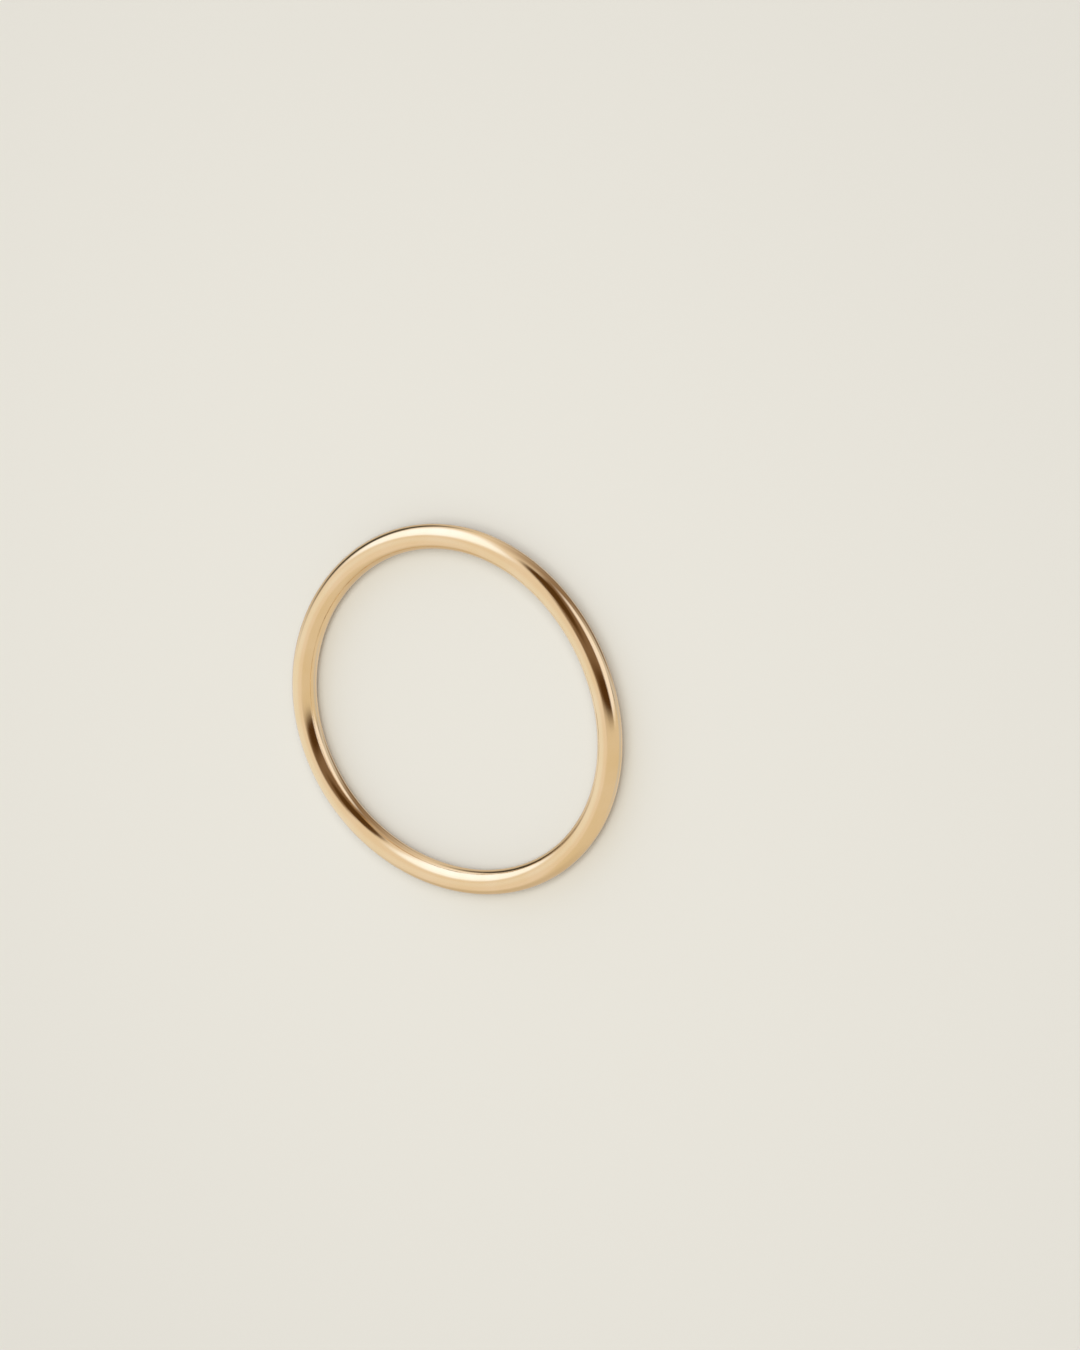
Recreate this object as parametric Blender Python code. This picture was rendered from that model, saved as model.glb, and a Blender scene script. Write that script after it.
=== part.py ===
"""A plain finger ring of round wire, lying on its side.

Metres, +Z up. The origin is at the centre of the finger hole, on the surface
that the ring lies on, and the hole's axis is +Z.
"""

import math

import bpy

# Driving dimensions
HOLE_DIAMETER = 0.0173  # inside of the ring, where the finger goes
WIRE_DIAMETER = 0.0013  # round wire, the same all the way round

# How finely the round shapes are faceted
SEGMENTS_ROUND_RING = 96
FLATS_PER_WIRE_QUARTER = 6

# Polished 14 karat yellow gold
GOLD_COLOUR = (0.95, 0.72, 0.43, 1.0)
GOLD_ROUGHNESS = 0.16

# Two flats more than four equal quarters put one flat straight down and one
# straight up, so the ring lies on a real flat face.
WIRE_SIDES = 4 * FLATS_PER_WIRE_QUARTER + 2


def clear_scene():
    for old in list(bpy.data.objects):
        bpy.data.objects.remove(old)


def new_collection(name):
    collection = bpy.data.collections.new(name)
    bpy.context.scene.collection.children.link(collection)
    return collection


def gold_material():
    material = bpy.data.materials.new("yellow_gold")
    material.use_nodes = True
    shader = material.node_tree.nodes["Principled BSDF"]
    shader.inputs["Base Color"].default_value = GOLD_COLOUR
    shader.inputs["Metallic"].default_value = 1.0
    shader.inputs["Roughness"].default_value = GOLD_ROUGHNESS
    return material


def ring_band(collection, material):
    """The whole ring: one loop of round wire whose ends are soldered and polished away."""
    wire_radius = WIRE_DIAMETER / 2
    centreline_radius = (HOLE_DIAMETER + WIRE_DIAMETER) / 2
    # The flats lie at the true wire radius, so their corners stand just outside it.
    corner_radius = wire_radius / math.cos(math.pi / WIRE_SIDES)
    bpy.ops.mesh.primitive_torus_add(
        major_radius=centreline_radius,
        minor_radius=corner_radius,
        major_segments=SEGMENTS_ROUND_RING,
        minor_segments=WIRE_SIDES,
        location=(0, 0, wire_radius),
    )
    band = bpy.context.object
    band.name = "ring_band"
    band.data.name = "ring_band"
    band.data.materials.append(material)
    band.data.shade_smooth()
    for home in list(band.users_collection):
        home.objects.unlink(band)
    collection.objects.link(band)
    return band


def main():
    clear_scene()
    ring_band(new_collection("finger_ring"), gold_material())


main()
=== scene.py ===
import math
from collections import namedtuple

import bpy
import numpy as np
from mathutils import Matrix, Vector


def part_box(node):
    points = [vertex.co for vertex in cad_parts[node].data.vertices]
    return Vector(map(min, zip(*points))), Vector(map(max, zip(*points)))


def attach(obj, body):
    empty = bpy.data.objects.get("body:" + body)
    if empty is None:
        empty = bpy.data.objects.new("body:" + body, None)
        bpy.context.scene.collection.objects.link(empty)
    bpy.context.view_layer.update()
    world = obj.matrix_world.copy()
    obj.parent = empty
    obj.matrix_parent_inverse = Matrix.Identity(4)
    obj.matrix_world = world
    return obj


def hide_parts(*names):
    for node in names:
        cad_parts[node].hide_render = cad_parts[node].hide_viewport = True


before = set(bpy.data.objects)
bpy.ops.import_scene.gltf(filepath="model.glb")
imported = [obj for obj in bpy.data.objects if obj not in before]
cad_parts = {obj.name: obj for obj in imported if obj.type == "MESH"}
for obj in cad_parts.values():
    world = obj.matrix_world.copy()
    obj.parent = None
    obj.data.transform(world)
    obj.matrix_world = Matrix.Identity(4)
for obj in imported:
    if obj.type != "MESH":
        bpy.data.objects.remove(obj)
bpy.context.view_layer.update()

ring_low, ring_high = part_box("ring_band")

MM = 0.001

# The ring's own sizes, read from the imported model
WIRE_RADIUS = (ring_high[2] - ring_low[2]) / 2
CENTRELINE_RADIUS = ring_high[0] - WIRE_RADIUS
RING_CENTRE = Vector((0, 0, ring_low[2] + WIRE_RADIUS))

# The photograph's frame, and where the ring's centre lies in it, in pixels
FRAME_WIDTH_PX = 1080
FRAME_HEIGHT_PX = 1350
RING_CENTRE_PX = (455.2, 711.4)

# The camera, whose long lens sees the ring from the photograph's angle. Its distance, elevation and
# roll, and the pixel above, come from a least-squares fit to the ring's outline in the photograph. The
# sensor's 36 mm lie along the frame's height, its longer side. Distances are in metres.
LENS_MM = 150.0
SENSOR_MM = 36.0
CAMERA_DISTANCE = 0.2913
CAMERA_ELEVATION = math.radians(54.5)
CAMERA_ROLL = math.radians(-117.5)
CLIP_START = 0.01
CLIP_END = 50.0

# The polished wire's mesh. 256 steps round the ring are the most that Blender's torus takes. Its flat
# chart is cut into rows, with a margin round each that is a share of the row.
STEPS_ROUND_RING = 256
STEPS_ROUND_WIRE = 80
CHART_ROWS = 4
CHART_MARGIN = 0.03

# How far the ring's centreline strays from a true circle, outward at its lobes and inward between them
OUT_OF_ROUND = 0.08 * MM
LOBES = 3
FIRST_LOBE = math.radians(-38)

# How far hand polishing leaves the wire below its true round, and the waves that this takes: how many
# of each go round the ring, how many go round the wire, its share of the depth, and where it starts, in
# radians
POLISH_DEPTH = 0.008 * MM
Wave = namedtuple("Wave", "round_ring round_wire share start")
POLISH_WAVES = (
    Wave(5, 1, 0.30, 0.4),
    Wave(9, -2, 0.25, 2.1),
    Wave(14, 1, 0.20, 4.0),
    Wave(23, 3, 0.15, 1.2),
    Wave(31, -1, 0.10, 5.3),
)

# The gold: two tints that soft clouds blend, and hairlines drawn out along the wire. A hairline's
# width, length and depth are in mm.
GOLD_COLOUR = (0.96, 0.735, 0.455)
GOLD_DEEPER_COLOUR = (0.94, 0.705, 0.405)
CLOUDS_PER_MM = 0.45
CLOUD_DETAIL = 3.0
Hairline = namedtuple("Hairline", "width length depth")
BROAD_HAIRLINE = Hairline(0.09, 5.0, 0.002)
FINE_HAIRLINE = Hairline(0.025, 2.0, 0.0012)
HAIRLINE_DETAIL = 2.0

# How worn the gold is follows clouds and hairlines. Most of their values lie in the noise range, and the
# roughness range is spread over it.
WEAR_FROM_CLOUDS = 0.4
WEAR_FROM_HAIRLINES = 0.6
NOISE_RANGE = (0.35, 0.65)
ROUGHNESS_RANGE = (0.05, 0.15)

# The square floor, with its side in metres
FLOOR_COLOUR = (0.545, 0.527, 0.472)
FLOOR_SIZE = 6.0

# Square lamps. away and clock say in which direction from the ring each one lies, as for the patches
# below. distance and side are in metres, and power is in watts. The key lies close to the lens's
# direction, so most of its shadow hides behind the wire. The one overhead makes a faint pool of light.
Lamp = namedtuple("Lamp", "away clock distance side power colour")
LAMPS = {
    "key": Lamp(8, 127, 5.0, 2.6, 200.0, (0.97, 0.99, 1.0)),
    "overhead": Lamp(38, 207, 0.09, 0.06, 0.0237, (1.0, 1.0, 0.96)),
}

# What the camera sees beyond the floor, and the room that the gold mirrors where no patch below covers it
BACKDROP_COLOUR = (0.78, 0.757, 0.68)
ROOM_COLOUR = (0.81, 0.77, 0.75)

# Soft patches of light and shade in that room, each laid over those before it. away is the angle from
# the lens as seen from the ring, and clock the direction round the lens axis, counterclockwise from the
# frame's right. reach and spread are the half sizes along and across that direction, and turn rotates
# the patch, all in degrees. edge is how soft the rim is, from 0 to 1.
# These numbers weren't chosen by hand. All patches but shelf_underside and doorway, and the room's
# colour, come from a least-squares fit to the ring's colours in the photograph. They were rounded, and
# then some edges and colours were changed.
Patch = namedtuple("Patch", "away clock reach spread turn edge colour")
STUDIO = {
    "shelf": Patch(109, 41, 49, 24, -44, 0.9, (0.27, 0.19, 0.13)),
    "shelf_underside": Patch(132, 38, 9, 28, -10, 0.6, (0.14, 0.10, 0.07)),
    "dark_room": Patch(28, 41, 27, 66, -87, 0.2, (0.21, 0.14, 0.09)),
    "dark_room_left": Patch(30, 84, 29, 16, -12, 0.3, (0.09, 0.045, 0.013)),
    "dark_room_right": Patch(47, -19, 58, 17, 29, 0.3, (0.08, 0.037, 0.01)),
    "window": Patch(75, 142, 35, 28, 16, 0.25, (1.08, 1.25, 1.6)),
    "window_glare": Patch(77, 129, 21, 26, 19, 0.6, (1.15, 1.37, 1.85)),
    "second_window": Patch(67, 12, 20, 38, -2, 0.3, (0.98, 1.0, 1.14)),
    "warm_card": Patch(89, -55, 76, 47, 41, 0.15, (0.73, 0.675, 0.59)),
    "warm_card_below": Patch(163, -129, 72, 38, -45, 0.35, (0.61, 0.55, 0.47)),
    "pale_wall": Patch(114, -160, 46, 21, 2, 0.5, (0.85, 0.88, 0.92)),
    "grey_wall": Patch(111, -1, 15, 34, 13, 0.55, (0.62, 0.64, 0.70)),
    "doorway": Patch(122, 136, 11, 34, 0, 0.5, (0.05, 0.047, 0.04)),
}

# Keeps a patch's chart from dividing by zero straight behind its middle
CHART_GUARD = 0.0001

# Where a colour Mix node holds its inputs and its result, among those for other kinds of data
MIX_SHARE, MIX_FIRST, MIX_SECOND = 0, 6, 7
MIX_RESULT = 2


# Camera


def camera_axes():
    """The camera's right, up and backward directions."""
    backward = Vector((0, -math.cos(CAMERA_ELEVATION), math.sin(CAMERA_ELEVATION)))
    level_right = Vector((1, 0, 0))
    level_up = backward.cross(level_right)
    right = math.cos(CAMERA_ROLL) * level_right + math.sin(CAMERA_ROLL) * level_up
    return right, backward.cross(right), backward


def camera_place():
    """Where the camera stands for the ring's centre to fall on its pixel."""
    right, up, backward = camera_axes()
    focal_px = LENS_MM / SENSOR_MM * FRAME_HEIGHT_PX
    aside = (FRAME_WIDTH_PX / 2 - RING_CENTRE_PX[0]) * CAMERA_DISTANCE / focal_px
    above = (RING_CENTRE_PX[1] - FRAME_HEIGHT_PX / 2) * CAMERA_DISTANCE / focal_px
    return RING_CENTRE + CAMERA_DISTANCE * backward + aside * right + above * up


def add_camera():
    data = bpy.data.cameras.new("camera")
    data.lens = LENS_MM
    data.sensor_width = SENSOR_MM
    data.clip_start = CLIP_START
    data.clip_end = CLIP_END
    camera = bpy.data.objects.new("camera", data)
    turn = Matrix(camera_axes()).transposed().to_4x4()
    camera.matrix_world = Matrix.Translation(camera_place()) @ turn
    bpy.context.scene.collection.objects.link(camera)
    bpy.context.scene.camera = camera


def seen_from_ring(away, clock):
    """A direction, and those along and across its clock line, as seen from the ring's centre."""
    to_lens = (camera_place() - RING_CENTRE).normalized()
    across = to_lens.cross(camera_axes()[0]).normalized()
    right = across.cross(to_lens)
    away, clock = math.radians(away), math.radians(clock)
    outward = math.cos(clock) * right + math.sin(clock) * across
    centre = math.sin(away) * outward + math.cos(away) * to_lens
    along = math.cos(away) * outward - math.sin(away) * to_lens
    return centre, along, centre.cross(along)


# Shader nodes


def add_node(tree, kind, inputs=None, **settings):
    """Adds a node. inputs maps a socket to its value, or to the output that it is linked to."""
    made = tree.nodes.new(kind)
    for name, value in settings.items():
        setattr(made, name, value)
    for socket, value in (inputs or {}).items():
        if isinstance(value, bpy.types.NodeSocket):
            tree.links.new(value, made.inputs[socket])
        else:
            made.inputs[socket].default_value = value
    return made


def calculate(tree, operation, *values):
    return add_node(tree, "ShaderNodeMath", dict(enumerate(values)), operation=operation).outputs[0]


def dot(tree, vector, axis):
    made = add_node(tree, "ShaderNodeVectorMath", {0: vector, 1: axis}, operation="DOT_PRODUCT")
    return made.outputs["Value"]


def join(tree, *values):
    return add_node(tree, "ShaderNodeCombineXYZ", dict(enumerate(values))).outputs[0]


def blend(tree, share, first, second):
    """Mixes two colours, the second one over the first."""
    inputs = {MIX_SHARE: share, MIX_FIRST: first, MIX_SECOND: second}
    return add_node(tree, "ShaderNodeMix", inputs, data_type="RGBA").outputs[MIX_RESULT]


def rescale(tree, value, from_range, to_range, smooth=False):
    inputs = {
        "Value": value,
        "From Min": from_range[0],
        "From Max": from_range[1],
        "To Min": to_range[0],
        "To Max": to_range[1],
    }
    kind = "SMOOTHSTEP" if smooth else "LINEAR"
    return add_node(tree, "ShaderNodeMapRange", inputs, interpolation_type=kind).outputs["Result"]


def rgba(colour):
    return (*colour, 1.0)


# The studio's light


def patch_cover(tree, looking, patch):
    """How much a patch covers in each direction, by a stereographic chart round its middle."""
    centre, along, across = seen_from_ring(patch.away, patch.clock)
    turn = math.radians(patch.turn)
    first = math.cos(turn) * along + math.sin(turn) * across
    second = math.cos(turn) * across - math.sin(turn) * along
    first = first / math.tan(math.radians(patch.reach) / 2)
    second = second / math.tan(math.radians(patch.spread) / 2)
    place = join(tree, dot(tree, looking, first), dot(tree, looking, second))
    length = add_node(tree, "ShaderNodeVectorMath", {0: place}, operation="LENGTH").outputs["Value"]
    facing = calculate(tree, "ADD", dot(tree, looking, centre), 1 + CHART_GUARD)
    chart = calculate(tree, "DIVIDE", length, facing)
    return rescale(tree, chart, (1 - patch.edge, 1 + patch.edge), (1.0, 0.0), smooth=True)


def add_world():
    world = bpy.data.worlds.new("studio")
    world.use_nodes = True
    tree = world.node_tree
    tree.nodes.clear()
    looking = add_node(tree, "ShaderNodeTexCoord").outputs["Generated"]
    colour = rgba(ROOM_COLOUR)
    for patch in STUDIO.values():
        colour = blend(tree, patch_cover(tree, looking, patch), colour, rgba(patch.colour))
    seen_directly = add_node(tree, "ShaderNodeLightPath").outputs["Is Camera Ray"]
    colour = blend(tree, seen_directly, colour, rgba(BACKDROP_COLOUR))
    background = add_node(tree, "ShaderNodeBackground", {"Color": colour})
    add_node(tree, "ShaderNodeOutputWorld", {"Surface": background.outputs[0]})
    bpy.context.scene.world = world


def add_lamp(name, lamp):
    """A soft square lamp. The gold doesn't mirror it: the studio's patches stand for it there."""
    data = bpy.data.lights.new(name, "AREA")
    data.size = lamp.side
    data.energy = lamp.power
    data.color = lamp.colour
    made = bpy.data.objects.new(name, data)
    toward_lamp = seen_from_ring(lamp.away, lamp.clock)[0]
    turn = toward_lamp.to_track_quat("Z", "Y").to_matrix().to_4x4()
    made.matrix_world = Matrix.Translation(RING_CENTRE + lamp.distance * toward_lamp) @ turn
    made.visible_glossy = False
    made.visible_camera = False
    bpy.context.scene.collection.objects.link(made)


def add_floor():
    """A plain matt floor. The gold doesn't mirror it either."""
    bpy.ops.mesh.primitive_plane_add(size=FLOOR_SIZE)
    floor = bpy.context.object
    floor.name = "floor"
    material = bpy.data.materials.new("pale_floor")
    material.use_nodes = True
    shader = material.node_tree.nodes["Principled BSDF"]
    shader.inputs["Base Color"].default_value = rgba(FLOOR_COLOUR)
    shader.inputs["Roughness"].default_value = 1.0
    shader.inputs["Specular IOR Level"].default_value = 0.0
    floor.data.materials.append(material)
    floor.visible_glossy = False


# The ring


def hairlines(tree, place_mm, hairline):
    """Noise drawn out along the wire: narrow across it, and long the way round the ring."""
    x, y, z = add_node(tree, "ShaderNodeSeparateXYZ", {0: place_mm}).outputs
    x_squared = calculate(tree, "MULTIPLY", x, x)
    y_squared = calculate(tree, "MULTIPLY", y, y)
    outward = calculate(tree, "SQRT", calculate(tree, "ADD", x_squared, y_squared))
    vector = join(
        tree,
        calculate(tree, "DIVIDE", outward, hairline.width),
        calculate(tree, "DIVIDE", z, hairline.width),
        calculate(tree, "DIVIDE", x, hairline.length),
    )
    fourth = calculate(tree, "DIVIDE", y, hairline.length)
    inputs = {"Vector": vector, "W": fourth, "Scale": 1.0, "Detail": HAIRLINE_DETAIL}
    return add_node(tree, "ShaderNodeTexNoise", inputs, noise_dimensions="4D").outputs[0]


def engrave(tree, lines, hairline, normal=None):
    """Presses hairlines into the surface, or into the one that a given normal has already shaped."""
    inputs = {"Height": lines, "Strength": 1.0, "Distance": hairline.depth * MM}
    if normal:
        inputs["Normal"] = normal
    return add_node(tree, "ShaderNodeBump", inputs).outputs[0]


def gold_material():
    """Polished gold with the faint hairlines that a buffing wheel leaves along the wire."""
    material = bpy.data.materials.new("polished_gold")
    material.use_nodes = True
    tree = material.node_tree
    shader = tree.nodes["Principled BSDF"]

    place = add_node(tree, "ShaderNodeTexCoord").outputs["Object"]
    scaling = {0: place, "Scale": 1 / MM}
    place_mm = add_node(tree, "ShaderNodeVectorMath", scaling, operation="SCALE").outputs[0]
    cloud_inputs = {"Vector": place_mm, "Scale": CLOUDS_PER_MM, "Detail": CLOUD_DETAIL}
    clouds = add_node(tree, "ShaderNodeTexNoise", cloud_inputs).outputs[0]
    broad = hairlines(tree, place_mm, BROAD_HAIRLINE)
    fine = hairlines(tree, place_mm, FINE_HAIRLINE)

    tint = rescale(tree, clouds, NOISE_RANGE, (0.0, 1.0))
    colour = blend(tree, tint, rgba(GOLD_COLOUR), rgba(GOLD_DEEPER_COLOUR))
    wear_in_clouds = calculate(tree, "MULTIPLY", clouds, WEAR_FROM_CLOUDS)
    wear_in_lines = calculate(tree, "MULTIPLY", fine, WEAR_FROM_HAIRLINES)
    wear = calculate(tree, "ADD", wear_in_clouds, wear_in_lines)
    roughness = rescale(tree, wear, NOISE_RANGE, ROUGHNESS_RANGE)
    normal = engrave(tree, broad, BROAD_HAIRLINE)
    normal = engrave(tree, fine, FINE_HAIRLINE, normal)

    shader.inputs["Metallic"].default_value = 1.0
    tree.links.new(colour, shader.inputs["Base Color"])
    tree.links.new(roughness, shader.inputs["Roughness"])
    tree.links.new(normal, shader.inputs["Normal"])
    return material


def work_by_hand(mesh):
    """Bends a true torus a little out of round, and sinks its surface here and there by microns."""
    points = np.empty(len(mesh.vertices) * 3)
    mesh.vertices.foreach_get("co", points)
    points = points.reshape(-1, 3)
    round_ring = np.arctan2(points[:, 1], points[:, 0])
    radial = np.stack([np.cos(round_ring), np.sin(round_ring), np.zeros(len(points))], axis=1)
    outward = points - CENTRELINE_RADIUS * radial
    outward /= np.linalg.norm(outward, axis=1, keepdims=True)
    round_wire = np.arctan2(outward[:, 2], np.hypot(points[:, 0], points[:, 1]) - CENTRELINE_RADIUS)
    hollow = np.zeros(len(points))
    for wave in POLISH_WAVES:
        angle = wave.round_ring * round_ring + wave.round_wire * round_wire + wave.start
        hollow += wave.share * (1 - np.cos(angle)) / 2
    points -= POLISH_DEPTH * hollow[:, None] * outward
    points += OUT_OF_ROUND * np.cos(LOBES * (round_ring - FIRST_LOBE))[:, None] * radial
    mesh.vertices.foreach_set("co", points.ravel())


def chart_in_rows(mesh):
    """Cuts the torus's long flat chart into rows that fill a square. Each face has four corners."""
    layer = mesh.uv_layers.active
    chart = np.empty(len(mesh.loops) * 2)
    layer.uv.foreach_get("vector", chart)
    chart = chart.reshape(-1, 4, 2)
    along = chart[:, :, 0] * CHART_ROWS
    row = np.floor(along.mean(axis=1, keepdims=True))
    chart[:, :, 0] = CHART_MARGIN + (along - row) * (1 - 2 * CHART_MARGIN)
    chart[:, :, 1] = (row + CHART_MARGIN + chart[:, :, 1] * (1 - 2 * CHART_MARGIN)) / CHART_ROWS
    layer.uv.foreach_set("vector", chart.ravel())


def add_ring():
    bpy.ops.mesh.primitive_torus_add(
        major_radius=CENTRELINE_RADIUS,
        minor_radius=WIRE_RADIUS,
        major_segments=STEPS_ROUND_RING,
        minor_segments=STEPS_ROUND_WIRE,
    )
    ring = bpy.context.object
    ring.name = "polished_band"
    work_by_hand(ring.data)
    chart_in_rows(ring.data)
    ring.data.transform(Matrix.Translation(RING_CENTRE))
    ring.data.shade_smooth()
    ring.data.materials.append(gold_material())
    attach(ring, "root")
    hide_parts("ring_band")


bpy.context.scene.view_settings.view_transform = "Standard"
add_camera()
add_world()
for name, lamp in LAMPS.items():
    add_lamp(name, lamp)
add_floor()
add_ring()
